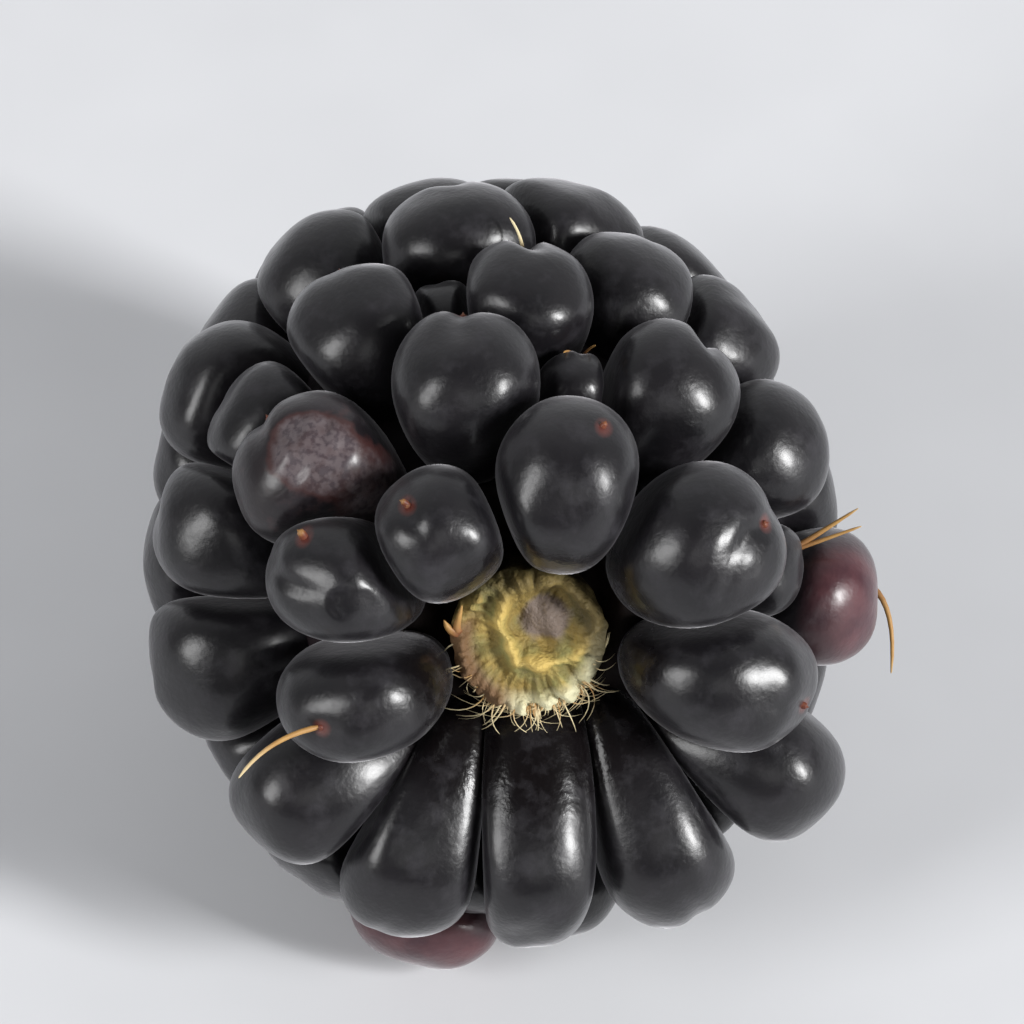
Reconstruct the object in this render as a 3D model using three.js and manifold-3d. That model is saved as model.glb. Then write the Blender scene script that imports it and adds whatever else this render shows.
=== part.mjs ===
// A ripe bramble berry, picked with its core and lying on its side.
// Millimetres, +Z up, lowest point at z = 0.
//
// Two bodies show. The drupelets are fused to the flesh that they grow from, and the pale core fills a
// socket in that flesh, with its torn end in the middle of the ring of drupelets at the stem end.
//
// Each body is worked out in the berry's own frame: z runs along the axis towards the stem, y to the side
// that ends up on top, and depths are measured from z = 0 at the stem end down to the tip. laidDown() then
// turns it over on to the three drupelets that carry it.

import * as THREE from "three";
import { mergeVertices } from "three/addons/utils/BufferGeometryUtils.js";
import Module from "manifold-3d";

// The egg-shaped surface that the drupelets' centres lie on.
const EGG_RADIUS = 9.0;
const EGG_LENGTH = 21.8;
const EGG_TAPER = 0.14; // how much wider it is towards the stem
const EGG_FULLNESS = 0.8; // under 1 flattens both ends
const BEND = 0.008; // the axis curves upwards by this times the square of the depth

// The drupelets.
const ROOM = 4.15; // usual distance between the middles of two neighbouring domes
const ROOM_SPREAD = 0.1; // how much that varies
const DOME_MIDDLE = 1.2; // height of the middle of a dome over its centre
const FILL = 1.4; // width of a drupelet before its neighbours press on it, in rooms
const BOXINESS = 2.3; // 2 is an ellipsoid, more is squarer
const PRESS = 10; // how tightly a drupelet fills the planes between it and its neighbours
const FUSED = 0.2; // how far it grows past each of those planes
const REACH = 7.5; // centres further apart than this don't press on each other
const ROOT = 1.4; // inward half over outward half
const HALF_HEIGHT = 0.53; // outward half of most drupelets, in rooms
const CURL = 8; // radius that the long ones bend to, over the berry
const LIFT_SPREAD = 0.1; // how much a drupelet of the lists stands out or in
const TWIST = 8; // degrees, how far it is turned about its outward axis
const REST_LIFT_SPREAD = 0.2; // the same two for the others
const REST_TWIST = 25;
const REST_SIZE_SPREAD = 0.06; // and how much their sizes vary
const SIDES = 12; // of a drupelet, round its outward axis
const BANDS = 6; // from its top to its root

// The ring round the core, clockwise from the top as seen from the stem:
// [angle in degrees, distance of the centre from the core's middle, width, length along the berry].
// The lower ones are long ribs.
const STEM_RING = [
  [16, 5.4, 4.7, 5.6],
  [65, 6.1, 5.1, 5.5],
  [107, 6.4, 4.4, 6.2],
  [129, 8.9, 4.3, 7.4],
  [155, 8.4, 4.5, 8.8],
  [183, 7.4, 4.4, 8.8],
  [210, 8.1, 5.1, 8.4],
  [236, 8.3, 4.5, 7.2],
  [258, 5.6, 3.7, 5.4],
  [295, 6.2, 4.0, 5.1],
  [328, 4.8, 4.2, 4.2],
];
const RING_TOP = 3; // a drupelet centred this far from the core's middle is the highest
const RING_DEPTH = 0.4; // of a centre at that distance
const RING_SAG = 0.09; // added to that by the square of the distance past it
const RING_LEAN = 1.24; // how much steeper than that sag the drupelets lean outwards
const RING_LEAN_START = 4; // degrees, their lean at RING_TOP
const RING_TWIST = 6; // degrees
const RING_HALF_HEIGHT = 2.45;

// The shoulder behind the ring, and some of the next row on top: [angle, place along the egg in degrees,
// width, length, how far out it stands]. Two are dwarfs, which never filled, and two bulge out past the rest.
const SHOULDER = [
  [357, 51, 4.8, 5.4, 0.2],
  [22, 59, 2.5, 2.8, -0.9],
  [42, 63, 4.7, 5.0, 0],
  [68, 73, 4.6, 5.2, 0.3],
  [84, 58, 3.2, 3.6, -0.3],
  [97, 72, 4.4, 5.4, 1.15],
  [196, 71, 5.4, 5.4, 1.5],
  [174, 69, 4.8, 5.0, 0.4],
  [238, 77, 4.6, 5.0, -0.6],
  [263, 66, 5.3, 5.4, 0],
  [291, 67, 5.0, 5.2, 0],
  [317, 51, 5.3, 5.0, 0],
  [307, 87, 5.0, 5.6, 0.4],
  [338, 74, 4.9, 5.6, 0],
  [11, 74, 4.4, 5.6, 0],
  [355, 78, 3.0, 3.4, -0.8],
  [33, 88, 4.9, 5.4, 0.1],
  [54, 92, 5.0, 5.4, 0.1],
  [0, 96, 5.4, 5.4, 0.1],
  [331, 106, 5.0, 5.2, 0.1],
];
const SHOULDER_HALF_HEIGHT = 2.35;

// Where the others look for a free spot: places along the egg and steps round it, in degrees.
const REST_FIRST = 56;
const REST_LAST = 178;
const REST_START_STEP = 67; // each search starts this much further round than the last
const REST_STEP = 3;
const FULL_SIZE = 1; // room of those that fill the berry, in ROOMs
const SMALL_SIZE = 0.7; // and of the small ones that squeeze in between them

// The core, a blunt cone that tapers into the berry, and the socket that it fills.
const CORE_X = 0.8; // its middle, off the berry's axis
const CORE_Y = 0.6;
const CORE_FACE = -1.7;
const CORE_FOOT = -7.5;
const CORE_RADIUS = 2.45;
const CORE_FOOT_RADIUS = 1.5;
const CORE_GAP = 0.3;
const CORE_SIDES = 20;

// The flesh under the drupelets: the same egg, a little wider, between these depths.
const FLESH_SCALE = 1.04;
const FLESH_TOP = 1.6;
const FLESH_TIP = 22.2;
const FLESH_SIDES = 20;
const FLESH_BANDS = 12;

// The pose: how far the stem end is raised, the roll about the axis and the turn about the vertical, in
// degrees, and the place of the berry's own origin. The drupelets that it lies on reach 0.3 mm below z = 0
// there, so that the table flattens them.
const STEM_RISE = 30.5;
const ROLL = 2.5;
const TURN = 4;
const PLACE = new THREE.Vector3(-0.108, -9.914, 14.669);
const TABLE = 80;

const rad = THREE.MathUtils.degToRad;

const wasm = await Module();
wasm.setup();

// ---- The seeded draws ----

let drawn = 14;

// The next number between -spread and spread, from a Lehmer generator.
function draw(spread) {
  drawn = (drawn * 16807) % 2147483647;
  return ((2 * drawn) / 2147483647 - 1) * spread;
}

// ---- Solids ----

function solidOf(geometry) {
  geometry.deleteAttribute("normal");
  geometry.deleteAttribute("uv");
  const merged = mergeVertices(geometry, 1e-4);
  return new wasm.Manifold(
    new wasm.Mesh({
      numProp: 3,
      vertProperties: new Float32Array(merged.attributes.position.array),
      triVerts: new Uint32Array(merged.index.array),
    }),
  );
}

function geometryOf(solid) {
  const { vertProperties, triVerts } = solid.getMesh();
  const geometry = new THREE.BufferGeometry()
    .setAttribute("position", new THREE.BufferAttribute(vertProperties, 3))
    .setIndex(new THREE.BufferAttribute(triVerts, 1));
  geometry.computeVertexNormals();
  return geometry;
}

// The geometry with each of its points moved to where shape() puts it.
function reshaped(geometry, shape) {
  const position = geometry.attributes.position;
  const point = new THREE.Vector3();
  for (let i = 0; i < position.count; i++) {
    point.fromBufferAttribute(position, i);
    position.setXYZ(i, ...shape(point));
  }
  return geometry;
}

// A ball of radius 1 with its poles on the z axis.
function ball(sides, bands) {
  return new THREE.SphereGeometry(1, sides, bands).rotateX(Math.PI / 2);
}

// ---- The egg ----

// Distance from the axis and depth at an angle t from the stem end.
function egg(t) {
  const wide = Math.sin(t) ** EGG_FULLNESS * (1 + EGG_TAPER * Math.cos(t));
  return [EGG_RADIUS * wide, (EGG_LENGTH / 2) * (1 - Math.cos(t))];
}

// The egg's outward direction there, as its parts away from the axis and down to the tip.
function eggOutward(t) {
  const step = 1e-3;
  const [nearWide, nearDepth] = egg(Math.max(t - step, 1e-6));
  const [farWide, farDepth] = egg(Math.min(t + step, Math.PI - 1e-6));
  const length = Math.hypot(farDepth - nearDepth, nearWide - farWide);
  return [(farDepth - nearDepth) / length, (nearWide - farWide) / length];
}

// ---- Where the drupelets stand ----

// The axes and centre of a drupelet at an angle round the berry, with its outward direction given in the
// plane through the axis. across, along and outward are unit vectors.
function placed(angle, wide, depth, [away, down], x0 = 0, y0 = 0) {
  const a = rad(angle);
  const side = new THREE.Vector3(Math.sin(a), Math.cos(a), 0);
  const across = new THREE.Vector3(-Math.cos(a), Math.sin(a), 0);
  const outward = side.clone().multiplyScalar(away).setZ(-down);
  const along = side.clone().multiplyScalar(down).setZ(away);
  const centre = side.clone().multiplyScalar(wide);
  centre.add(new THREE.Vector3(x0, y0 + BEND * depth ** 2, -depth));
  return { centre, across, along, outward };
}

// The same drupelet pushed outwards, turned about its outward axis and given its half sizes.
function grown(place, lift, twist, width, length, halfHeight) {
  const turn = (v) => v.clone().applyAxisAngle(place.outward, rad(twist));
  return {
    centre: place.centre.clone().addScaledVector(place.outward, lift),
    across: turn(place.across),
    along: turn(place.along),
    outward: place.outward,
    half: [width / 2, length / 2, halfHeight],
    room: ROOM,
  };
}

function middleOf(drupelet) {
  return drupelet.centre.clone().addScaledVector(drupelet.outward, DOME_MIDDLE);
}

// Whether a dome at this middle has its room among those already there.
function isFree(middle, room, others) {
  return others.every((o) => middleOf(o).distanceTo(middle) > (o.room + room) / 2);
}

function stemRing() {
  return STEM_RING.map(([angle, reach, width, length]) => {
    const past = reach - RING_TOP;
    const lean = Math.atan(RING_LEAN * RING_SAG * past) + rad(RING_LEAN_START);
    const outward = [Math.sin(lean), -Math.cos(lean)];
    const place = placed(angle, reach, RING_DEPTH + RING_SAG * past ** 2, outward, CORE_X, CORE_Y);
    return grown(place, draw(LIFT_SPREAD), draw(RING_TWIST), width, length, RING_HALF_HEIGHT);
  });
}

function shoulder() {
  return SHOULDER.map(([angle, t, width, length, lift]) => {
    const place = placed(angle, ...egg(rad(t)), eggOutward(rad(t)));
    const halfHeight = Math.min(width / 2, SHOULDER_HALF_HEIGHT);
    return grown(place, lift + draw(LIFT_SPREAD), draw(TWIST), width, length, halfHeight);
  });
}

// The rest of the berry, as it grows: each new drupelet takes the free spot that is nearest to the stem.
function addRest(drupelets, size) {
  let room = ROOM * size * (1 + draw(ROOM_SPREAD));
  for (let t = REST_FIRST; t <= REST_LAST; t++) {
    const start = (t * REST_START_STEP) % 360;
    for (let angle = start; angle < start + 360; angle += REST_STEP) {
      const place = placed(angle, ...egg(rad(t)), eggOutward(rad(t)));
      if (!isFree(middleOf(place), room, drupelets)) continue;
      const width = room * FILL * (1 + draw(REST_SIZE_SPREAD));
      const length = room * FILL * (1 + draw(REST_SIZE_SPREAD));
      const lift = draw(REST_LIFT_SPREAD);
      const drupelet = grown(place, lift, draw(REST_TWIST), width, length, room * HALF_HEIGHT);
      drupelets.push({ ...drupelet, room });
      room = ROOM * size * (1 + draw(ROOM_SPREAD));
    }
  }
}

// ---- The shape of a drupelet ----

// One over the distance from the drupelet's centre to its own boxy ellipsoid, along a unit vector.
function inverseRadius(drupelet, direction) {
  const [a, b, c] = drupelet.half;
  const out = direction.dot(drupelet.outward);
  const x = Math.abs(direction.dot(drupelet.across)) / a;
  const y = Math.abs(direction.dot(drupelet.along)) / b;
  const z = Math.abs(out) / (out < 0 ? c * ROOT : c);
  return (x ** BOXINESS + y ** BOXINESS + z ** BOXINESS) ** (1 / BOXINESS);
}

// The planes that its neighbours press it against: unit vectors to them and the planes' distances.
function planesOf(drupelet, others) {
  const planes = [];
  for (const other of others) {
    const gap = other.centre.distanceTo(drupelet.centre);
    if (other === drupelet || gap > REACH) continue;
    const towards = other.centre.clone().sub(drupelet.centre).divideScalar(gap);
    const mine = 1 / inverseRadius(drupelet, towards);
    const theirs = 1 / inverseRadius(other, towards.clone().negate());
    planes.push([towards, (gap * mine) / (mine + theirs) + FUSED]);
  }
  return planes;
}

// A ball blown up until it meets the ellipsoid or, where that is nearer, the planes, and then curled.
function drupeletSolid(drupelet, others) {
  const planes = planesOf(drupelet, others);
  const { across, along, outward, half } = drupelet;
  const shape = (point) => {
    const direction = new THREE.Vector3()
      .addScaledVector(across, point.x * half[0])
      .addScaledVector(along, point.y * half[1])
      .addScaledVector(outward, point.z * half[2])
      .normalize();
    let sum = inverseRadius(drupelet, direction) ** PRESS;
    for (const [towards, distance] of planes) {
      sum += (Math.max(direction.dot(towards), 0) / distance) ** PRESS;
    }
    const reached = direction.multiplyScalar(sum ** (-1 / PRESS));
    const sag = reached.dot(along) ** 2 / (2 * CURL);
    return reached.add(drupelet.centre).addScaledVector(outward, -sag);
  };
  return solidOf(reshaped(ball(SIDES, BANDS), shape));
}

// ---- The flesh and the core ----

function fleshSolid() {
  const shape = ({ x, y, z }) => {
    const t = Math.acos(THREE.MathUtils.clamp(z, -1, 1));
    const [wide, depth] = egg(t);
    const angle = Math.atan2(x, y);
    const down = THREE.MathUtils.mapLinear(depth, 0, EGG_LENGTH, FLESH_TOP, FLESH_TIP);
    const across = t < 1e-3 || t > Math.PI - 1e-3 ? 0 : wide * FLESH_SCALE;
    return [across * Math.sin(angle), across * Math.cos(angle) + BEND * down ** 2, -down];
  };
  return solidOf(reshaped(ball(FLESH_SIDES, FLESH_BANDS), shape));
}

// The core, or with a margin the socket that holds it.
function coreSolid(margin) {
  const profile = [
    [0, CORE_FOOT - margin],
    [CORE_FOOT_RADIUS + margin, CORE_FOOT - margin],
    [CORE_RADIUS + margin, CORE_FACE - 1 - margin],
    [CORE_RADIUS + margin, CORE_FACE + margin],
    [0, CORE_FACE + margin],
  ].map(([r, z]) => new THREE.Vector2(r, z));
  const cone = new THREE.LatheGeometry(profile, CORE_SIDES).rotateX(Math.PI / 2);
  return solidOf(cone.translate(CORE_X, CORE_Y, 0));
}

// ---- The whole berry, laid down ----

function laidDown(solid) {
  const pose = new THREE.Matrix4()
    .makeRotationZ(rad(TURN))
    .multiply(new THREE.Matrix4().makeRotationX(rad(90 - STEM_RISE)))
    .multiply(new THREE.Matrix4().makeRotationZ(rad(ROLL)))
    .setPosition(PLACE);
  const table = solidOf(new THREE.BoxGeometry(TABLE, TABLE, TABLE).translate(0, 0, -TABLE / 2));
  return solidOf(geometryOf(solid).applyMatrix4(pose)).subtract(table);
}

function sub(name, solid, colour, roughness) {
  const material = new THREE.MeshStandardMaterial({ color: colour, roughness, metalness: 0 });
  const mesh = new THREE.Mesh(geometryOf(solid), material);
  mesh.name = name;
  return mesh;
}

const drupelets = [...stemRing(), ...shoulder()];
addRest(drupelets, FULL_SIZE);
addRest(drupelets, SMALL_SIZE);
let fruit = fleshSolid();
for (const drupelet of drupelets) fruit = fruit.add(drupeletSolid(drupelet, drupelets));
fruit = fruit.subtract(coreSolid(CORE_GAP));

const berry = new THREE.Group();
berry.name = "bramble_berry";
berry.add(sub("drupelets", laidDown(fruit), 0x1d1b20, 0.35));
berry.add(sub("receptacle", laidDown(coreSolid(0)), 0xa89a52, 0.85));

export default berry;
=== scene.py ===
# %% [markdown]
# # A ripe bramble berry, lying on its side
#
# A bramble berry is not one fruit but some seventy small ones. Each drupelet is a thin waxy skin, blown tight
# by its juice and pressed flat where it meets its neighbours. They grow from a pale core that comes off the
# plant with the berry, and its torn end shows in the middle of the ring of drupelets at the stem end.
#
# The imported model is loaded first. It fixes the size, the place and the pose, so the finer pieces made here
# are worked out from the same rules and the same draws as the solids that they stand for.

import bpy
import numpy as np
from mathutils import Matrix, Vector


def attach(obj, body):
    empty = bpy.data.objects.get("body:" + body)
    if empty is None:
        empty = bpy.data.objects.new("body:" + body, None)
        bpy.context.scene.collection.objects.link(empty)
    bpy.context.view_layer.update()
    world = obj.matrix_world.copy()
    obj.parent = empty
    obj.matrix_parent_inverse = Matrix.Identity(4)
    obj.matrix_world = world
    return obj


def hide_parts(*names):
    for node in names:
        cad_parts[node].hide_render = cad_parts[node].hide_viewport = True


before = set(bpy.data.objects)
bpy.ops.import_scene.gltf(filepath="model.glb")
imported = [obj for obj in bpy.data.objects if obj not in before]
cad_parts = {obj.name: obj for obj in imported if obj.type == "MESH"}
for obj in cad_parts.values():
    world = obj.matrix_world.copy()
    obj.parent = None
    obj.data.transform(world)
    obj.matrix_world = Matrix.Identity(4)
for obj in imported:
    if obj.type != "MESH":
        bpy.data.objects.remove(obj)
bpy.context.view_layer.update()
MM = 0.001
print("packed nodes:", sorted(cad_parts))

# %% [markdown]
# ## Where the drupelets stand
#
# The centres lie on an egg with a gently bent axis, in a frame where z runs towards the stem and depths are
# counted from the stem end down to the tip. The ring round the core and the shoulder behind it are given one
# by one, because they give this berry its face. The others could be scattered over the egg, but that leaves
# gaps and overlaps. So each takes the free spot nearest to the stem, one after the other, as on the plant.

# %% The egg
EGG_RADIUS, EGG_LENGTH, EGG_TAPER, EGG_FULLNESS = 9.0, 21.8, 0.14, 0.8
BEND = 0.008  # the axis curves upwards by this times the square of the depth
UP = np.array([0.0, 0.0, 1.0])


def egg(t):
    """Distance from the axis, radius * sin(t)^fullness * (1 + taper cos t), and depth, half * (1 - cos t)."""
    wide = EGG_RADIUS * np.sin(t) ** EGG_FULLNESS * (1 + EGG_TAPER * np.cos(t))
    return wide, EGG_LENGTH / 2 * (1 - np.cos(t))


def egg_outward(t, step=1e-3):
    """The egg's outward direction at t, from two nearby points: its parts away from the axis and down."""
    near, far = egg(np.maximum(t - step, 1e-6)), egg(np.minimum(t + step, np.pi - 1e-6))
    away, down = far[1] - near[1], near[0] - far[0]
    length = np.hypot(away, down)
    return away / length, down / length


print("egg at its widest:", round(float(egg(np.radians(80))[0] * 2), 1), "mm across")

# %% Placing a drupelet
ROOM, ROOM_SPREAD = 4.15, 0.1  # mm that a drupelet takes up, and how much that differs
FILL, HALF_HEIGHT = 1.4, 0.53  # its width and half its height for each mm of room
DOME_MIDDLE = 1.2  # mm from its centre out to the middle of its dome
SEED = 14
drawn = SEED


def draw(spread):
    """The next number from -spread to spread: each is 16807 times the last, modulo 2^31 - 1, then scaled."""
    global drawn
    drawn = drawn * 16807 % 2147483647
    return (2 * drawn / 2147483647 - 1) * spread


def placed(angle, wide, depth, outward, x0=0.0, y0=0.0):
    """Centre, wide away from the axis and depth down it, then across, along, outward axes, as four rows."""
    a = np.radians(angle)
    away, down = outward
    side = np.array([np.sin(a), np.cos(a), 0.0])
    across = np.array([-np.cos(a), np.sin(a), 0.0])
    centre = side * wide + np.array([x0, y0 + BEND * depth ** 2, -depth])
    return np.array([centre, across, side * down + UP * away, side * away - UP * down])


def grown(place, lift, twist, width, length, half_height, room=ROOM):
    """The drupelet at centre + lift * outward, with across and along turned by twist, and its half sizes."""
    centre, across, along, out = place
    c, s = np.cos(np.radians(twist)), np.sin(np.radians(twist))
    axes = np.array([across * c + np.cross(out, across) * s, along * c + np.cross(out, along) * s, out])
    half = np.array([width / 2, length / 2, half_height])
    return {"centre": centre + out * lift, "axes": axes, "half": half, "room": room}


def middle(drupelet):
    """The middle of the dome, centre + DOME_MIDDLE * outward, where the room is measured."""
    return drupelet["centre"] + drupelet["axes"][2] * DOME_MIDDLE


# %% The ring round the core: (angle, distance from the core's middle, width, length)
STEM_RING = [
    (16, 5.4, 4.7, 5.6), (65, 6.1, 5.1, 5.5), (107, 6.4, 4.4, 6.2), (129, 8.9, 4.3, 7.4),
    (155, 8.4, 4.5, 8.8), (183, 7.4, 4.4, 8.8), (210, 8.1, 5.1, 8.4), (236, 8.3, 4.5, 7.2),
    (258, 5.6, 3.7, 5.4), (295, 6.2, 4.0, 5.1), (328, 4.8, 4.2, 4.2),
]
CORE_X, CORE_Y, CORE_FACE, CORE_FOOT = 0.8, 0.6, -1.7, -7.5  # mm: its middle, and heights of its ends
CORE_RADIUS, CORE_FOOT_RADIUS = 2.45, 1.5
RING_TOP, RING_DEPTH, RING_SAG = 3, 0.4, 0.09  # the highest circle's radius and depth, and the sag past it
RING_LEAN, RING_LEAN_START = 1.24, 4  # how steeply the lean grows past it, and degrees of lean on it
RING_HALF_HEIGHT = 2.45


def stem_ring():
    """The centres sink by sag times the square of the distance past the highest circle, and lean out."""
    ring = []
    for angle, reach, width, length in STEM_RING:
        past = reach - RING_TOP
        lean = np.arctan(RING_LEAN * RING_SAG * past) + np.radians(RING_LEAN_START)
        depth = RING_DEPTH + RING_SAG * past ** 2
        place = placed(angle, reach, depth, (np.sin(lean), -np.cos(lean)), CORE_X, CORE_Y)
        ring.append(grown(place, draw(0.1), draw(6), width, length, RING_HALF_HEIGHT))
    return ring


# %% The shoulder: (angle, place along the egg in degrees, width, length, how far out it stands)
SHOULDER = [
    (357, 51, 4.8, 5.4, 0.2), (22, 59, 2.5, 2.8, -0.9), (42, 63, 4.7, 5.0, 0), (68, 73, 4.6, 5.2, 0.3),
    (84, 58, 3.2, 3.6, -0.3), (97, 72, 4.4, 5.4, 1.15), (196, 71, 5.4, 5.4, 1.5), (174, 69, 4.8, 5.0, 0.4),
    (238, 77, 4.6, 5.0, -0.6), (263, 66, 5.3, 5.4, 0), (291, 67, 5.0, 5.2, 0), (317, 51, 5.3, 5.0, 0),
    (307, 87, 5.0, 5.6, 0.4), (338, 74, 4.9, 5.6, 0), (11, 74, 4.4, 5.6, 0), (355, 78, 3.0, 3.4, -0.8),
    (33, 88, 4.9, 5.4, 0.1), (54, 92, 5.0, 5.4, 0.1), (0, 96, 5.4, 5.4, 0.1), (331, 106, 5.0, 5.2, 0.1),
]
SHOULDER_HALF_HEIGHT = 2.35


def shoulder():
    """Drupelets on the egg itself, at an angle and a place along it."""
    row = []
    for angle, t, width, length, lift in SHOULDER:
        place = placed(angle, *egg(np.radians(t)), egg_outward(np.radians(t)))
        half_height = min(width / 2, SHOULDER_HALF_HEIGHT)
        row.append(grown(place, lift + draw(0.1), draw(8), width, length, half_height))
    return row


# %% The rest of the berry
def add_rest(drupelets, size):
    """Takes the free spots in turn, stem end first: those with no dome within half of both rooms."""
    room = ROOM * size * (1 + draw(ROOM_SPREAD))
    for t in range(56, 179):
        on_egg = (*egg(np.radians(t)), egg_outward(np.radians(t)))
        spots = [placed(t * 67 % 360 + step, *on_egg) for step in range(0, 360, 3)]
        middles = np.array([spot[0] + spot[3] * DOME_MIDDLE for spot in spots])
        first = 0
        while first < len(spots):
            apart = np.linalg.norm(middles[first:, None] - [middle(d) for d in drupelets], axis=2)
            free = np.flatnonzero((apart > (np.array([d["room"] for d in drupelets]) + room) / 2).all(1))
            if not len(free):
                break
            first += free[0] + 1
            width, length = (room * FILL * (1 + draw(0.06)) for _ in range(2))
            lift, twist = draw(0.2), draw(25)
            new = grown(spots[first - 1], lift, twist, width, length, room * HALF_HEIGHT, room)
            drupelets.append({**new, "row": t})
            room = ROOM * size * (1 + draw(ROOM_SPREAD))


DRUPELETS = stem_ring() + shoulder()
RINGED, HAND_PLACED = len(STEM_RING), len(DRUPELETS)
for size in (1, 0.7):  # full-sized ones first, then small ones in the gaps
    add_rest(DRUPELETS, size)
print(len(DRUPELETS), "drupelets, of which", HAND_PLACED, "are placed by hand")

# %% [markdown]
# ## The shape of one drupelet
#
# A drupelet on its own would be a boxy ellipsoid. Its neighbours press it flat along planes that share out
# the space between the centres. A high-power mean of the ellipsoid and the planes joins them with the tight
# round edges of a full water balloon. Each is then curled to the curve of the berry, as the long ones show.
#
# It could be sculpted, or blown up in a simulation. A formula over a grid of directions gives the same shape
# each time, and every point in one array operation, with a pole on top of the dome, where the grid is finest.

# %% Ellipsoid and planes
BOXINESS, PRESS = 2.3, 8  # powers of the two means: 2 is an ellipsoid, and a high one has tight edges
REACH, CURL = 7.5, 8  # mm within which a neighbour presses, and the radius that the drupelets bend to
ROOT = 1.4  # how much deeper the hidden half is than the dome
CREVICE = 0.12  # mm that each skin keeps from the plane between two drupelets


def inverse_radius(drupelet, directions):
    """One over the distance to the boxy ellipsoid: the power mean of |x|/a, |y|/b and |z|/c."""
    local = directions @ drupelet["axes"].T
    a, b, c = drupelet["half"]
    height = np.where(local[:, 2] < 0, c * ROOT, c)
    size = np.stack([np.full(len(local), a), np.full(len(local), b), height], 1)
    return ((np.abs(local) / size) ** BOXINESS).sum(1) ** (1 / BOXINESS)


def pressed(drupelet, directions):
    """Offsets: 1 / length is the power mean of 1 / ellipsoid and cosine / plane. Sag is along^2 / 2 curl."""
    total = inverse_radius(drupelet, directions) ** PRESS
    for other in DRUPELETS:
        towards = other["centre"] - drupelet["centre"]
        gap = np.linalg.norm(towards)
        if other is drupelet or gap > REACH:
            continue
        towards = towards / gap
        mine = 1 / inverse_radius(drupelet, towards[None])[0]
        theirs = 1 / inverse_radius(other, -towards[None])[0]
        plane = gap * mine / (mine + theirs) - CREVICE
        total = total + (np.clip(directions @ towards, 0, 1) / plane) ** PRESS
    reached = directions * (total ** (-1 / PRESS))[:, None]
    sag = (reached @ drupelet["axes"][1]) ** 2 / (2 * CURL)
    return reached - np.outer(sag, drupelet["axes"][2])


# %% [markdown]
# ## What makes them look grown
#
# No two drupelets are alike. The scar of the style, a thread that once stood on each, sits past the top, on
# the side away from the stem, often in a dimple. From there a faint seam runs back over the dome, and on a
# few it is deep enough to give the drupelet two lobes. A few have dried a little and their skin is wrinkled.
# All of them are slightly uneven, so that their highlights wander. Bump in the material could fake this, but
# it would vanish from the outline, so the points themselves are moved in and out.

# %% Marks on the listed drupelets
# Where each scar is, across and along in half sizes: on most, on the side away from the stem
SCAR_PLACE, SCAR_MOVED = (0.0, -0.62), {0: (-0.35, -0.65), 8: (0.0, -0.2), 9: (-0.65, -0.45)}
LONG, SCAR_ON_LONG = 7.0, (0.0, -0.9)  # mm from which a drupelet counts as long
# The long ones bend down towards the core: mm for each half length past the bend, its place and its
# width in half lengths, and how much more their sides sink than their middle, which leaves a crest
HOLLOW, BEND_AT, BEND_WIDTH, CREST = 3.4, 0.17, 0.12, 0.3
SEAMS = {0: 0.05, 2: 0.05, 11: 0.22, 13: 0.55, 23: 0.3, 25: 0.6, 29: 0.4}  # drupelet: depth in mm
# Wrinkled patches: drupelet: (across, along, radius in half sizes, depth in mm)
WRINKLED = {
    1: (-0.1, 0.0, 0.7, 0.035), 6: (-0.25, 0.4, 0.3, 0.05),
    9: (0.05, 0.45, 0.35, 0.08), 22: (-0.38, 0.4, 0.6, 0.14),
}
# Drupelet: how red its top still is, and from where to where along it the red comes in, in half lengths
UNRIPE = {16: (0.9, -0.5, 0.2), 17: (0.9, -3.0, -2.0), 22: (0.05, -3.0, -2.0)}
RIPE = (0.0, -3.0, -2.0)
FADED = {22: 1.0}  # how much of the colour the wrinkled patch has lost
print("wrinkled drupelets:", sorted(WRINKLED), "and with red in them:", sorted(UNRIPE))

# %% Marks that all drupelets share
SEAM_DEPTHS = [0, 0, 0.06, 0.12, 0.2]  # mm, which those without a depth of their own draw from
SEAM_WIDTH, SEAM_WANDER, SEAM_BENDS = 0.16, 0.06, 5  # the first two in half widths
DIMPLE_WIDTH, SHALLOW, DEEP = 0.17, 0.03, 0.1  # half sizes, then mm
SCAR_SIZE, FOLDS_EVERY = 0.34, 1.5  # mm
UNEVEN, UNEVEN_EVERY = 0.028, 2.6  # mm
# Painted shade: the skin is darkened in the hollow round the core, where the long drupelets dive under it
SHADE_REACH, SHADE_REACH_ON_LONG = 2.2, 4.6  # mm past the core
SHADE_FULL = 0.4  # share of the reach over which the painted shade is still full
SHADE_BOTTOM, SHADE_TOP = -6, -3  # heights in the berry's frame between which the painted shade comes in


def bump(x, centre, width):
    """A bell curve of height 1: e to the power of minus the square of (x - centre) / width."""
    return np.exp(-(((x - centre) / width) ** 2))


def ramp(x, low, high):
    """0 below low, 1 above high, and 3s^2 - 2s^3 between them, where s runs from 0 to 1."""
    s = np.clip((x - low) / (high - low), 0, 1)
    return s * s * (3 - 2 * s)


def ripples(points, random, wavelength, waves):
    """Sine of 2 pi times the way along a random direction over about that wavelength in mm, for each wave."""
    directions = random.normal(size=(waves, 3))
    directions /= np.linalg.norm(directions, axis=1)[:, None]
    numbers = 2 * np.pi / (wavelength * random.uniform(0.7, 1.4, waves))
    return np.sin(points @ (directions.T * numbers) + random.uniform(0, 2 * np.pi, waves))


# %% Grid, displacement and marks of one drupelet
DOME_EDGE = np.radians(115)  # from here on down the grid is hidden, and coarser
DETAIL_SEED = 1000


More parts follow.
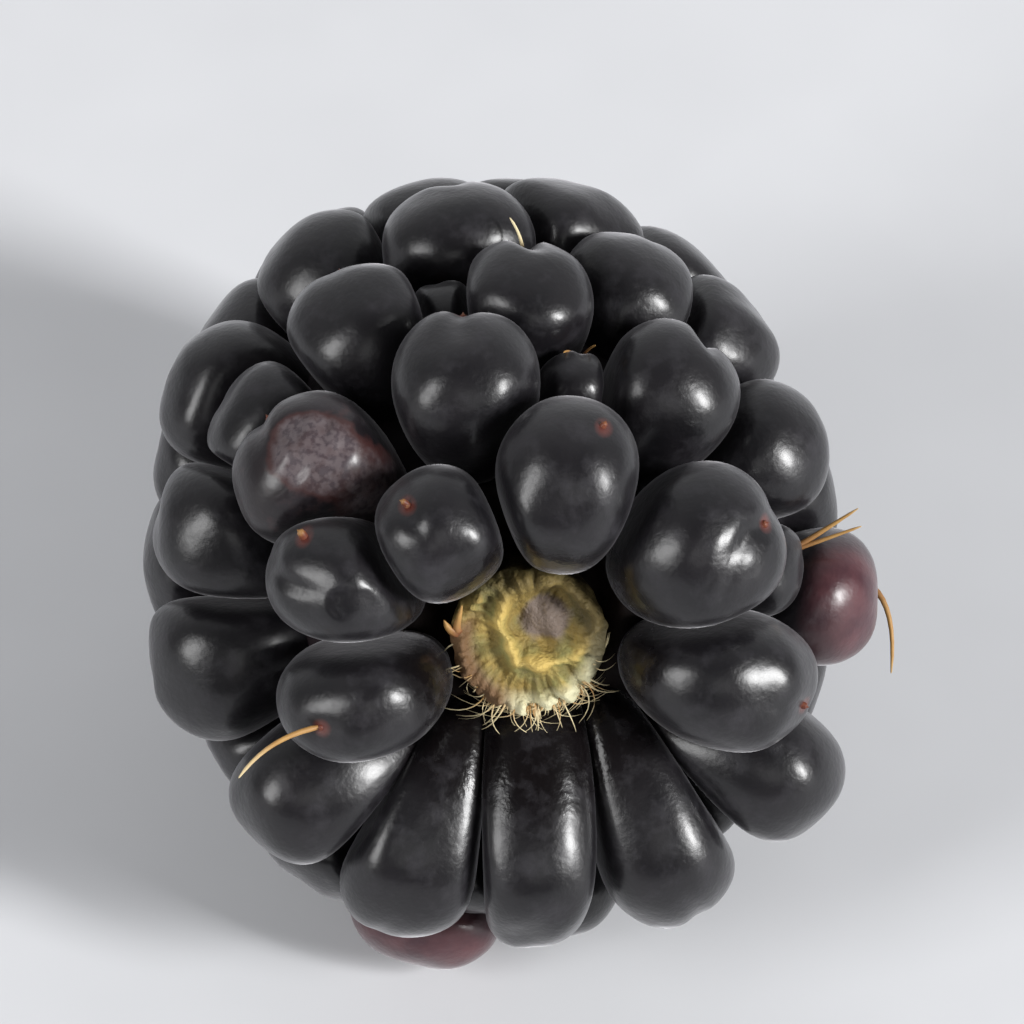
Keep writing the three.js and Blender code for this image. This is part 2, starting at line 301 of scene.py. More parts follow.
def ball_grid(around, rings):
    """Directions (sin theta cos phi, sin theta sin phi, cos theta), from pole to root, and both angles."""
    hidden = rings // 5
    down = np.concatenate([np.linspace(0, DOME_EDGE, rings - hidden, endpoint=False),
                           np.linspace(DOME_EDGE, np.pi, hidden + 1)])
    theta = np.concatenate([[0], np.repeat(down[1:-1], around), [np.pi]])
    phi = np.concatenate([[0], np.tile(2 * np.pi * np.arange(around) / around, rings - 1), [0]])
    local = np.stack([np.sin(theta) * np.cos(phi), np.sin(theta) * np.sin(phi), np.cos(theta)], 1)
    return local, theta, phi


def is_long(number):
    """True for the long drupelets, which run in under the core."""
    return 2 * DRUPELETS[number]["half"][1] > LONG


def scar_place(number):
    """Where the style stood, across and along in half sizes."""
    return SCAR_MOVED.get(number, SCAR_ON_LONG if is_long(number) else SCAR_PLACE)


def carved(number, x, y, top, offset, random):
    """Depth at each point, seam + dimple + bend + folds - unevenness, and the mark of a wrinkled patch."""
    seam = bump(x + SEAM_WANDER * np.sin(SEAM_BENDS * y), 0, SEAM_WIDTH) * ramp(-y, -0.25, 0.55) * top
    depth = SEAMS.get(number, random.choice(SEAM_DEPTHS)) * seam
    scar_x, scar_y = scar_place(number)
    dimple = bump(x, scar_x, DIMPLE_WIDTH) * bump(y, scar_y, DIMPLE_WIDTH) * top
    depth = depth + random.uniform(SHALLOW, DEEP) * dimple
    uneven = UNEVEN * ripples(offset, random, UNEVEN_EVERY, 5).sum(1) * top
    if is_long(number):
        past_bend = np.logaddexp(0, (y - BEND_AT) / BEND_WIDTH)
        depth = depth + HOLLOW * (1 + CREST * x ** 2) * BEND_WIDTH * past_bend
    patch = np.zeros(len(x))
    if number in WRINKLED:
        px, py, radius, fold_depth = WRINKLED[number]
        patch = 1 - ramp(np.hypot(x - px, y - py), radius * 0.6, radius)
        folds = 1 - np.abs(ripples(offset, random, FOLDS_EVERY, 4)).mean(1)
        depth = depth + fold_depth * patch * (0.1 + 1.8 * folds)
    return depth - uneven, patch


def shade_round_core(points, reach):
    """Painted shade round the core: 1 near its axis, falling by a ramp to 0 at reach past its radius, and 0
    far below it.
    """
    from_core = np.hypot(points[:, 0] - CORE_X, points[:, 1] - CORE_Y)
    near = 1 - ramp(from_core, CORE_RADIUS + SHADE_FULL * reach, CORE_RADIUS + reach)
    return near * ramp(points[:, 2], SHADE_BOTTOM, SHADE_TOP)


# %% One drupelet
def drupelet_surface(number, around, rings, random):
    """Points in the berry's frame, centre + offset - depth * outward, and marks from 0 to 1."""
    drupelet = DRUPELETS[number]
    across, along, out = drupelet["axes"]
    local, theta, phi = ball_grid(around, rings)
    directions = (local * drupelet["half"]) @ drupelet["axes"]
    directions /= np.linalg.norm(directions, axis=1)[:, None]
    offset = pressed(drupelet, directions)
    x, y = offset @ across / drupelet["half"][0], offset @ along / drupelet["half"][1]
    top = ramp(local[:, 2], -0.1, 0.35)
    depth, patch = carved(number, x, y, top, offset, random)
    points = drupelet["centre"] + offset - np.outer(depth, out)
    redness, black_end, red_end = UNRIPE.get(number, RIPE)
    drift = 0.2 * ripples(offset, random, 3.0, 3).mean(1)
    scar_x, scar_y = scar_place(number)
    from_scar = np.hypot((x - scar_x) * drupelet["half"][0], (y - scar_y) * drupelet["half"][1])
    marks = {
        "unripe": redness * ramp(local[:, 2] + drift, -0.1, 0.7) * ramp(y + drift, black_end, red_end),
        "faded": np.full(len(x), FADED.get(number, 0.0)),
        "patch": patch,
        "scar": bump(from_scar, 0, SCAR_SIZE) * top,
        # Painted shade in the hollow round the core, reaching further on the long drupelets
        "core_shade": shade_round_core(points, SHADE_REACH_ON_LONG if is_long(number) else SHADE_REACH),
    }
    return points, marks, (theta, phi)


print("long drupelets:", [k for k in range(len(DRUPELETS)) if is_long(k)])

# %% [markdown]
# ## Laying the berry down
#
# The berry rests on its side with its stem end raised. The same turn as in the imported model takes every
# point there, and where a drupelet would reach below the surface, it is pressed flat on it.

# %% From the berry's frame to the table
STEM_RISE, ROLL, TURN = 30.5, 2.5, 4
PLACE = np.array([-0.108, -9.914, 14.669])  # mm from the table's origin to that of the berry's frame


def turning(axis, degrees):
    """Rotation matrix about axis 0, 1 or 2: cos, -sin over sin, cos in the other two."""
    c, s = np.cos(np.radians(degrees)), np.sin(np.radians(degrees))
    matrix = np.eye(3)
    i, j = (axis + 1) % 3, (axis + 2) % 3
    matrix[i, i] = matrix[j, j] = c
    matrix[i, j], matrix[j, i] = -s, s
    return matrix


POSE = turning(2, TURN) @ turning(0, 90 - STEM_RISE) @ turning(2, ROLL)
print("stem end raised by", STEM_RISE, "degrees")


def laid_down(points):
    """POSE times each point, plus PLACE, and no lower than the table."""
    placed_points = points @ POSE.T + PLACE
    placed_points[:, 2] = np.maximum(placed_points[:, 2], 0)
    return placed_points


# %% Making a mesh from arrays
def new_piece(name, points, faces, marks=None, uv=None):
    """Makes an object from points in mm and lists of faces, each an array with one row for a face."""
    mesh = bpy.data.meshes.new(name)
    mesh.vertices.add(len(points))
    mesh.vertices.foreach_set("co", (points * MM).astype(np.float32).ravel())
    corners = np.concatenate([f.ravel() for f in faces]).astype(np.int32)
    totals = np.concatenate([np.full(len(f), f.shape[1]) for f in faces])
    mesh.loops.add(len(corners))
    mesh.loops.foreach_set("vertex_index", corners)
    mesh.polygons.add(len(totals))
    mesh.polygons.foreach_set("loop_start", np.concatenate([[0], np.cumsum(totals)[:-1]]).astype(np.int32))
    for label, values in (marks or {}).items():
        mesh.attributes.new(label, "FLOAT", "POINT").data.foreach_set("value", values.astype(np.float32))
    if uv is not None:
        mesh.uv_layers.new(name="OFBake").data.foreach_set("uv", uv.astype(np.float32).ravel())
    mesh.update(calc_edges=True)
    mesh.validate()
    mesh.shade_smooth()
    piece = bpy.data.objects.new(name, mesh)
    bpy.context.scene.collection.objects.link(piece)
    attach(piece, "root")
    return piece


def ball_faces(around, rings, start=0):
    """Faces of a ball grid: a fan of triangles at each pole and rows of four-sided faces between."""
    here = np.arange(around)
    after = (here + 1) % around
    first, last = start + 1, start + 1 + (rings - 2) * around
    top = np.stack([np.full(around, start), first + here, first + after], 1)
    base = first + around * np.arange(rings - 2)[:, None]
    sides = np.stack([base + here, base + around + here, base + around + after, base + after], 2)
    root = np.stack([last + here, np.full(around, last + around), last + after], 1)
    return top, sides.reshape(-1, 4), root


# %% [markdown]
# ## Groups of drupelets
#
# The drupelets are made in a few pieces: the ring, the shoulder, and three bands further down. Each gets a
# flat layout of its own for when colours are stored in an image: every drupelet is spread on a round disc
# in a square of its own, its dome in the middle.

# %% Build the groups
def disc_uv(theta, phi, faces, tile, tiles):
    """Each corner at sin(theta / 2) from the middle of a disc, which keeps areas, in a square of its own."""
    top, sides, root = faces
    corners = np.concatenate([f.ravel() for f in faces])
    radius, angle = np.sin(theta / 2)[corners], phi[corners].copy()
    angle[: top.size].reshape(-1, 3)[:, 0] = phi[top[:, 1]]
    fan = angle[-root.size:].reshape(-1, 3)
    fan[:, 1] = fan[:, 0]
    disc = 0.5 + 0.48 * np.stack([radius * np.cos(angle), radius * np.sin(angle)], 1)
    return (disc + [tile % tiles, tile // tiles]) / tiles


def drupelet_group(name, numbers, around, rings):
    """One piece with these drupelets, in the pose, with their marks and layout."""
    own = ball_faces(around, rings)
    made = [drupelet_surface(k, around, rings, np.random.default_rng(DETAIL_SEED + k)) for k in numbers]
    tiles = int(np.ceil(np.sqrt(len(made))))
    size = len(made[0][0])
    faces = [f + tile * size for tile in range(len(made)) for f in own]
    uv = np.concatenate([disc_uv(*angles, own, tile, tiles) for tile, (_, _, angles) in enumerate(made)])
    marks = {label: np.concatenate([m[label] for _, m, _ in made]) for label in made[0][1]}
    points = laid_down(np.concatenate([surface for surface, _, _ in made]))
    for k, (surface, own_marks, _) in zip(numbers, made):
        tip = surface[own_marks["scar"].argmax()]
        outward = (tip - DRUPELETS[k]["centre"]) @ POSE.T
        SCARS[k] = laid_down(tip[None])[0], outward / np.linalg.norm(outward)
    piece = new_piece(name, points, faces, marks, uv)
    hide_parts("drupelets")
    print(name, len(made), "drupelets,", len(piece.data.polygons), "faces")
    return piece


def in_rows(low, high):
    """Numbers of the drupelets that the rule placed in these rows."""
    return [k for k in range(HAND_PLACED, len(DRUPELETS)) if low <= DRUPELETS[k]["row"] < high]


SCARS = {}  # drupelet number: (place of its scar, direction out of the skin there), both on the table
SKIN_PIECES = [
    drupelet_group("ring_drupelets", range(RINGED), around=80, rings=44),
    drupelet_group("shoulder_drupelets", range(RINGED, HAND_PLACED), around=72, rings=40),
    drupelet_group("side_drupelets", in_rows(0, 100), around=56, rings=32),
    drupelet_group("back_drupelets", in_rows(100, 135), around=56, rings=32),
    drupelet_group("tip_drupelets", in_rows(135, 180), around=56, rings=32),
]

# %% [markdown]
# ## The flesh between them
#
# Under the drupelets is a lump of dark flesh. Only slivers of it show, at the bottom of the crevices and
# round the core, so it is the same egg drawn in a little, with a socket sunk in it where the core stands.

# %% Flesh
FLESH_SCALE, FLESH_TOP, FLESH_TIP = 0.93, 3.2, 21.8  # share of the egg's width, and mm of depth at the ends
SOCKET_DEPTH, SOCKET_EDGE = 2.2, 0.5  # mm
FLESH_AROUND, FLESH_RINGS = 120, 90


def flesh_surface(around, rings):
    """The egg scaled about its axis, deeper by a smooth step inside the core's radius."""
    theta = np.concatenate([[1e-3], np.repeat(np.pi * np.arange(1, rings) / rings, around), [np.pi - 1e-3]])
    phi = np.concatenate([[0], np.tile(2 * np.pi * np.arange(around) / around, rings - 1), [0]])
    wide, depth = egg(theta)
    wide = wide * FLESH_SCALE
    down = FLESH_TOP + depth / EGG_LENGTH * (FLESH_TIP - FLESH_TOP)
    x, y = wide * np.cos(phi), wide * np.sin(phi)
    from_core = np.hypot(x - CORE_X, y - CORE_Y)
    in_front = 1 - ramp(theta, 1.2, 1.6)
    socket = SOCKET_DEPTH * (1 - ramp(from_core, CORE_RADIUS, CORE_RADIUS + SOCKET_EDGE)) * in_front
    near_core = (1 - ramp(from_core, CORE_RADIUS, CORE_RADIUS + 2.5)) * in_front
    return np.stack([x, y + BEND * down ** 2, -down - socket], 1), near_core


points, near_core = flesh_surface(FLESH_AROUND, FLESH_RINGS)
faces = ball_faces(FLESH_AROUND, FLESH_RINGS)
FLESH = new_piece("flesh", laid_down(points), faces, {"near_core": near_core})
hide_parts("drupelets")
print("flesh", len(FLESH.data.polygons), "faces")

# %% [markdown]
# ## The torn core
#
# Where the berry came off its stalk the core is torn across: a ragged rim, a groove, then a raised cup
# round a sunken mauve middle that lies a little to one side. Carving it out of a plug would leave poor faces,
# so the torn face is a height field over a disc. The same grid goes on over the rim, down the tapering side
# and under the foot, so that the core is closed.

# %% Core: heights, radii and widths in mm
CUP = np.array([0.55, 0.55])  # middle of the raised cup, off the core's own middle
RIDGE_HEIGHT, RIDGE_RADIUS, RIDGE_WIDTH = 0.4, 1.42, 0.26
MIDDLE_DEPTH, MIDDLE_RADIUS, MIDDLE_EDGE = 0.28, 0.7, 1.35
RIM_HEIGHT, RIM_RADIUS, RIM_WIDTH = 0.34, 2.15, 0.22
STREAK_HEIGHT, STREAKS, LUMP_HEIGHT, LUMP_EVERY = 0.05, 38, 0.045, 0.7
CORE_AROUND, ON_FACE, ON_SIDE = 160, 44, 12  # points in a ring, and rings


def core_face(x, y, random):
    """Height of the torn face: cup ridge - sunken middle + ragged rim + streaks outwards + lumps."""
    from_cup = np.hypot(x - CUP[0], y - CUP[1])
    radius, angle = np.hypot(x, y), np.arctan2(x, y)
    ragged = 0.6 + 0.25 * np.sin(7 * angle + 1) + 0.25 * np.sin(17 * angle + 2) + 0.15 * np.sin(31 * angle)
    wavy = from_cup + 0.1 * np.sin(3 * angle) + 0.05 * np.sin(8 * angle)
    ridge = RIDGE_HEIGHT * bump(wavy, RIDGE_RADIUS, RIDGE_WIDTH)
    middle_dip = MIDDLE_DEPTH * (1 - ramp(from_cup, MIDDLE_RADIUS, MIDDLE_EDGE))
    rim = RIM_HEIGHT * ragged * bump(radius, RIM_RADIUS, RIM_WIDTH)
    streaks = STREAK_HEIGHT * np.sin(STREAKS * angle + 2 * np.sin(3 * radius)) * ramp(radius, 0.9, 1.7)
    flat = np.stack([x, y, 0 * x], 1)
    lumps = LUMP_HEIGHT * ripples(flat, random, LUMP_EVERY, 8).sum(1)
    return ridge - middle_dip + rim + streaks + lumps, from_cup, radius


def core_surface(around, on_face, on_side):
    """Rings out over the face, down the side and in under the foot. Returns points and colour marks."""
    random = np.random.default_rng(DETAIL_SEED)
    share = np.concatenate([np.linspace(0, 1, on_face + 1)[1:], np.ones(on_side)])
    drop = np.concatenate([np.zeros(on_face), np.linspace(0, 1, on_side + 1)[1:]])
    phi = 2 * np.pi * np.arange(around) / around
    edge = CORE_RADIUS * (1 + 0.02 * np.sin(3 * phi) + 0.015 * np.sin(11 * phi + 1) + 0.01 * np.sin(23 * phi))
    taper = 1 - drop * (1 - CORE_FOOT_RADIUS / CORE_RADIUS)
    radius = (share * taper)[:, None] * edge
    x, y = (radius * np.cos(phi)).ravel(), (radius * np.sin(phi)).ravel()
    x, y = np.concatenate([[0], x, [0]]), np.concatenate([[0], y, [0]])
    drop = np.concatenate([[0], np.repeat(drop, around), [1]])
    height, from_cup, from_middle = core_face(x, y, random)
    top = CORE_FACE + height * (1 - ramp(drop, 0, 0.15))
    z = top + (CORE_FOOT - CORE_FACE) * drop
    marks = {
        "mauve": (1 - ramp(from_cup, 0.5, 1.05)) * (drop == 0),
        # Painted shade on the upper right side of the torn face
        "shade_upper_right": np.maximum(ramp(x + 0.3 * y, 1.1, 2.0), 0.9 * ramp(y, 0.9, 2.0)),
        "cream": ramp(from_middle, 1.7, 2.15) * ramp(-y, -0.5, 1.0),
        "tan": ramp(from_middle, 1.5, 2.0) * ramp(-x, 0.3, 1.2) * (1 - ramp(y, 0.4, 1.4)),
        "relief": height,
    }
    return np.stack([x + CORE_X, y + CORE_Y, z], 1), marks


points, marks = core_surface(CORE_AROUND, ON_FACE, ON_SIDE)
faces = ball_faces(CORE_AROUND, ON_FACE + ON_SIDE + 1)
CORE = new_piece("torn_core", laid_down(points), faces, marks)
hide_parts("receptacle")
print("core", len(CORE.data.polygons), "faces")

# %% [markdown]
# ## Threads: fibres round the core and dried styles
#
# Fine torn fibres hang over the edge of the core. On the drupelets, most styles have fallen off and left a
# red-brown stub, and some are still there as dry curled threads. Each could be a curve object with a bevel.
# Tapering tubes along curves with three control points look the same, and one function makes them all at
# once: one row of the arrays for each thread.

# %% Tubes
def tubes(start, bend, end, thick, thin, around, rings):
    """Closed tapering tubes along (1-t)^2 start + 2t(1-t) bend + t^2 end, with round-ended radii."""
    t = np.linspace(0, 1, rings - 1)
    a, b, c = start[:, None], bend[:, None], end[:, None]
    s = t[None, :, None]
    path = (1 - s) ** 2 * a + 2 * s * (1 - s) * b + s ** 2 * c
    way = 2 * (1 - s) * (b - a) + 2 * s * (c - b)
    way /= np.linalg.norm(way, axis=2)[:, :, None]
    reference = np.where(np.abs(way[:, :1, 2:]) < 0.8, UP, np.array([1.0, 0.0, 0.0]))
    first = np.cross(way, reference)
    first /= np.linalg.norm(first, axis=2)[:, :, None]
    second = np.cross(first, way)
    phi = 2 * np.pi * np.arange(around) / around
    radius = (thick[:, None] + (thin - thick)[:, None] * t) * np.where((t == 0) | (t == 1), 0.55, 1.0)
    round_ring = first[:, :, None] * np.cos(phi)[:, None] + second[:, :, None] * np.sin(phi)[:, None]
    rings_of = path[:, :, None] + radius[:, :, None, None] * round_ring
    foot = path[:, :1] - way[:, :1] * thick[:, None, None] * 0.3
    tip = path[:, -1:] + way[:, -1:] * thin[:, None, None]
    points = np.concatenate([foot, rings_of.reshape(len(start), -1, 3), tip], 1)
    along = np.concatenate([[0], np.repeat(t, around), [1]])
    own = ball_faces(around, rings)
    faces = [f + k * points.shape[1] for k in range(len(start)) for f in own]
    return points.reshape(-1, 3), faces, np.tile(along, len(start))


def threads(name, start, bend, end, thick, thin, tone, around=8, rings=12):
    """One piece of tapering threads. Its marks are the way along each and a tone, red-brown 0 to tan 1."""
    points, faces, along = tubes(start, bend, end, thick, thin, around, rings)
    points[:, 2] = np.maximum(points[:, 2], 0)
    marks = {"along": along, "tone": np.repeat(tone, len(points) // len(tone))}
    piece = new_piece(name, points, faces, marks)
    print(name, len(start), "threads,", len(piece.data.polygons), "faces")
    return piece


# %% Fibres at the edge of the core
FIBRES_ON_RIM, FIBRE_SEED = 150, 5


def core_fibres(number, random):
    """Fibres from the rim outwards and down, most on the low side, and a forked strand on the high side."""
    angle = np.radians(np.concatenate([random.normal(180, 38, number), [281, 282]]))
    reach = np.concatenate([0.2 + 1.2 * random.random(number) ** 1.8, [0.6, 0.25]])
    droop = np.concatenate([random.uniform(0.25, 0.9, number), [-0.3, -0.5]])
    foot = CORE_RADIUS - random.uniform(0.1, 0.35, number + 2)
    aside = np.concatenate([random.normal(0, 0.2, number), [0.15, 0.4]])
    side = np.stack([np.sin(angle), np.cos(angle)], 1)
    turned = np.stack([np.sin(angle + aside), np.cos(angle + aside)], 1)
    place = [
        (side * foot[:, None], np.full(number + 2, 0.1)),
        (side * (foot + reach * 0.6)[:, None], np.full(number + 2, 0.2)),
        (turned * (foot + reach)[:, None], -droop),
    ]
    curve = [np.column_stack([xy + [CORE_X, CORE_Y], CORE_FACE + z]) @ POSE.T + PLACE for xy, z in place]
    thick = np.concatenate([random.uniform(0.013, 0.032, number), [0.2, 0.2]])
    return (*curve, thick, thick * 0.35, np.concatenate([random.uniform(1.2, 1.8, number), [0.55, 0.55]]))


own = core_fibres(FIBRES_ON_RIM, np.random.default_rng(FIBRE_SEED))
FIBRES = threads("core_fibres", *own, around=6, rings=8)

# %% Dried styles
# Drupelet, the way from its scar to the bend and to the end, the radius at the foot and the end, the tone
LONG_STYLES = [
    (8, (-1.6, -0.6, 0.3), (-2.5, -1.5, -0.6), 0.1, 0.05, 1.0),
    (15, (0.9, 0.3, 0.5), (2.1, 0.8, 1.1), 0.12, 0.04, 0.7),
    (15, (1.0, 0.1, 0.4), (2.2, 0.4, 0.7), 0.09, 0.04, 0.7),
    (16, (1.2, -0.8, 0.4), (1.0, -2.4, -1.8), 0.13, 0.05, 0.7),
    (12, (-0.3, -0.1, 0.6), (-0.5, -0.6, 0.9), 0.06, 0.03, 0.4),
    (12, (0.3, 0.0, 0.5), (0.5, -0.3, 0.9), 0.05, 0.03, 0.5),
    (25, (0.1, 0.5, 0.5), (-0.4, 1.1, 0.9), 0.07, 0.04, 1.4),
    (9, (0.0, 0.0, 0.15), (-0.1, 0.0, 0.25), 0.16, 0.12, 0.15),
    (10, (-0.1, 0.05, 0.15), (-0.2, 0.05, 0.2), 0.13, 0.09, 0.1),
    (13, (0.0, 0.05, 0.25), (0.0, 0.1, 0.5), 0.17, 0.12, -0.3),
]
STYLE_SHARE, STYLE_SEED = 0.25, 9  # share of the drupelets placed by the rule that still have theirs


def dried_styles(random):
    """A stub at each scar, the long styles as listed, and curled ones on a few of the other drupelets."""
    scar = np.array([SCARS[k][0] for k in range(len(DRUPELETS))])
    out = np.array([SCARS[k][1] for k in range(len(DRUPELETS))])
    height = random.uniform(0.05, 0.16, len(scar))[:, None]
    thick = random.uniform(0.09, 0.16, len(scar))
    stub = [
        scar - out * 0.1, scar + out * height / 2, scar + out * height,
        thick, thick * 0.7, random.uniform(-0.4, 0.1, len(scar)),
    ]
    number = [row[0] for row in LONG_STYLES]
    bend, end = np.array([row[1] for row in LONG_STYLES]), np.array([row[2] for row in LONG_STYLES])
    foot, tip, tone = np.array([row[3:] for row in LONG_STYLES]).T
    by_hand = [scar[number] - out[number] * 0.1, scar[number] + bend, scar[number] + end, foot, tip, tone]
    chosen = HAND_PLACED + np.flatnonzero(random.random(len(scar) - HAND_PLACED) < STYLE_SHARE)
    chosen = chosen[scar[chosen, 2] > 3]
    sideways = np.cross(out[chosen], random.normal(size=(len(chosen), 3)))
    sideways /= np.linalg.norm(sideways, axis=1)[:, None]
    length = random.uniform(0.8, 2.0, len(chosen))[:, None]
    from_scar = scar[chosen]
    seeded = [
        from_scar - out[chosen] * 0.1,
        from_scar + out[chosen] * length * 0.6,
        from_scar + out[chosen] * length * 0.45 + sideways * length,
        random.uniform(0.06, 0.1, len(chosen)),
        random.uniform(0.03, 0.05, len(chosen)),
        random.uniform(0.3, 1.2, len(chosen)),
    ]
    return [np.concatenate(columns) for columns in zip(stub, by_hand, seeded)]


STYLES = threads("dried_styles", *dried_styles(np.random.default_rng(STYLE_SEED)))

# %% [markdown]
# ## Materials
#
# Every colour is given as on a screen and turned into linear light by one function. Patterns are measured
# in mm, so the scale of a noise is one over the size of its blobs. The marks stored on the points say where
# each colour goes, and noise breaks up the edges. A painted picture could do this too, but it would need a
# seam somewhere, and marks follow the shape by themselves.

# %% Material helpers
MOST = {"From Min": 0.3, "From Max": 0.7}  # the range that holds nearly all of a noise


def linear(hex_colour):
    """A screen colour c in linear light, c / 12.92 if dark and else ((c + 0.055) / 1.055)^2.4, and alpha."""
    screen = np.array([int(hex_colour[i:i + 2], 16) for i in (1, 3, 5)]) / 255
    low, high = screen / 12.92, ((screen + 0.055) / 1.055) ** 2.4
    return (*np.where(screen <= 0.04045, low, high).tolist(), 1.0)


def add(tree, kind, inputs, output=0, **settings):
    """Adds a shader node with its settings and returns one of its outputs.

    Inputs are given by name or number: a socket is linked to them, and anything else is set.
    """
    node = tree.nodes.new("ShaderNode" + kind)
    for name, value in settings.items():
        setattr(node, name, value)
    for key, value in inputs.items():
        if isinstance(value, bpy.types.NodeSocket):
            tree.links.new(value, node.inputs[key])
        else:
            node.inputs[key].default_value = value
    return node.outputs[output] if node.outputs else None


def new_material(name, *marks):
    """An empty material, its node tree, object coordinates in mm, and the marks on the points by name."""
    material = bpy.data.materials.new(name)
    material.use_nodes = True
    tree = material.node_tree
    tree.nodes.clear()
    where = add(tree, "TexCoord", {}, "Object")
    in_mm = add(tree, "VectorMath", {0: where, "Scale": 1 / MM}, operation="SCALE")
    return material, tree, in_mm, [add(tree, "Attribute", {}, "Fac", attribute_name=mark) for mark in marks]


def painted(tree, below, value, low, high, above, most=1.0):
    """The colour below under the one above, which rises from none at value low to its most at value high."""
    share = add(tree, "MapRange", {"Value": value, "From Min": low, "From Max": high, "To Max": most})
    return add(tree, "Mix", {0: share, 6: below, 7: above}, 2, data_type="RGBA")


def mottled(tree, in_mm, size_mm, low, high, first, second, detail=2.0):
    """Soft patches of about size_mm: the first colour where the noise is low, the second where it is high."""
    noise = add(tree, "TexNoise", {"Vector": in_mm, "Scale": 1 / size_mm, "Detail": detail})
    return painted(tree, linear(first), noise, low, high, linear(second))


# %% [markdown]
# ### Skin
#
# The skin is a clear waxy film over black juice. One glossy layer would turn the drupelets into glass beads.
# So the base is only half smooth, and a thin clear coat over it gives each highlight a bright heart in a
# soft glow. A sheen, which shows at grazing angles only, draws the pale edge that bloom gives a drupelet.

# %% Skin: thin, waxy and nearly black, so that the eye reads it by its reflections
def skin_material():
    """Juice, over it the parts that are red, dried, in painted shade by the core, or scarred, then bloom,
    gloss and fine relief.
    """
    marks = "unripe", "patch", "faded", "core_shade", "scar"
    material, tree, in_mm, (unripe, patch, faded, core_shade, scar) = new_material("bramble_skin", *marks)
    # Juice through the skin: purple-black, with a slow drift towards plum.
    colour = mottled(tree, in_mm, 1.6, 0.35, 0.7, "#100f12", "#19171a", 3)
    # Drupelets that are not fully ripe let the red of the juice through.
    red = mottled(tree, in_mm, 1.0, 0.35, 0.65, "#43232a", "#5a3539", 3)
    colour = painted(tree, colour, unripe, 0, 1, red)
    # Where a drupelet has dried, a grey-mauve film with a red-brown edge.
    ragged = add(tree, "TexNoise", {"Vector": in_mm, "Scale": 1 / 0.45, "Detail": 4})
    ragged = add(tree, "MapRange", {"Value": ragged, "To Min": -0.6, "To Max": 0.5})
    dry = add(tree, "Math", {0: patch, 1: ragged}, operation="ADD")
    dry = add(tree, "Math", {0: dry, 1: faded}, operation="MULTIPLY")
    colour = painted(tree, colour, dry, 0.05, 0.35, linear("#38201f"))
    film = mottled(tree, in_mm, 0.22, 0.45, 0.6, "#5a5052", "#40363a", 3)
    colour = painted(tree, colour, dry, 0.4, 0.95, film)
    # Painted shade darkens the skin nearly to black in the hollow round the torn core, and each scar is a
    # red-brown dot.
    colour = painted(tree, colour, core_shade, 0, 1, linear("#0b0707"), 0.8)
    colour = painted(tree, colour, scar, 0.35, 0.8, linear("#552a24"))
    # A breath of bloom: faint paler patches.
    bloom = add(tree, "TexNoise", {"Vector": in_mm, "Scale": 1 / 0.9, "Detail": 4, "Roughness": 0.6})
    bloom = add(tree, "MapRange", {"Value": bloom, "From Min": 0.5, "From Max": 0.75})
    colour = painted(tree, colour, bloom, 0, 1, linear("#6a686e"), 0.12)
    # Roughness: the bloom and the dried film blur the reflections, and the skin in the painted shade by the
    # core is a little smoother.
    edge = add(tree, "TexNoise", {"Vector": in_mm, "Scale": 1 / 1.1})
    edge = add(tree, "MapRange", {"Value": edge, **MOST, "To Min": -0.15, "To Max": 0.15})
    shaded_skin = add(tree, "Math", {0: core_shade, 1: edge}, operation="ADD")
    rough = add(tree, "MapRange", {"Value": bloom, "To Min": 0.36, "To Max": 0.47})
    rougher = add(tree, "MapRange", {"Value": dry, "From Min": 0.2, "From Max": 0.6, "To Max": 0.12})
    smoother = add(tree, "MapRange", {"Value": shaded_skin, "From Min": 0.2, "From Max": 0.8, "To Max": 0.14})
    rough = add(tree, "Math", {0: rough, 1: rougher}, operation="ADD")
    rough = add(tree, "Math", {0: rough, 1: smoother}, operation="SUBTRACT")
    # Gloss: the wax is a clear coat, thinner under bloom and taken away in the painted shade by the core, to
    # keep it dark.
    wax = add(tree, "MapRange", {
        "Value": shaded_skin, "From Min": 0.2, "From Max": 0.7, "To Min": 0.55, "To Max": 0.0,
    })
    clear = add(tree, "MapRange", {"Value": bloom, "To Min": 1.0, "To Max": 0.3})
    wax = add(tree, "Math", {0: wax, 1: clear}, operation="MULTIPLY")
    # Relief: fine pores over soft unevenness.
    pores = add(tree, "TexNoise", {"Vector": in_mm, "Scale": 1 / 0.16})
    uneven = add(tree, "TexNoise", {"Vector": in_mm, "Scale": 1 / 0.6})
    relief = add(tree, "Math", {0: pores, 1: 0.4, 2: uneven}, operation="MULTIPLY_ADD")
    shader = add(tree, "BsdfPrincipled", {
        "Base Color": colour, "Roughness": rough, "IOR": 1.45, "Specular IOR Level": 0.34,
        "Coat Weight": wax, "Coat Roughness": 0.24, "Coat IOR": 1.4,
        "Sheen Weight": 1.0, "Sheen Roughness": 0.28, "Sheen Tint": linear("#a09fa2"),
        "Normal": add(tree, "Bump", {"Height": relief, "Distance": 0.03 * MM, "Strength": 1.0}),
    })
    add(tree, "OutputMaterial", {"Surface": shader})
    return material
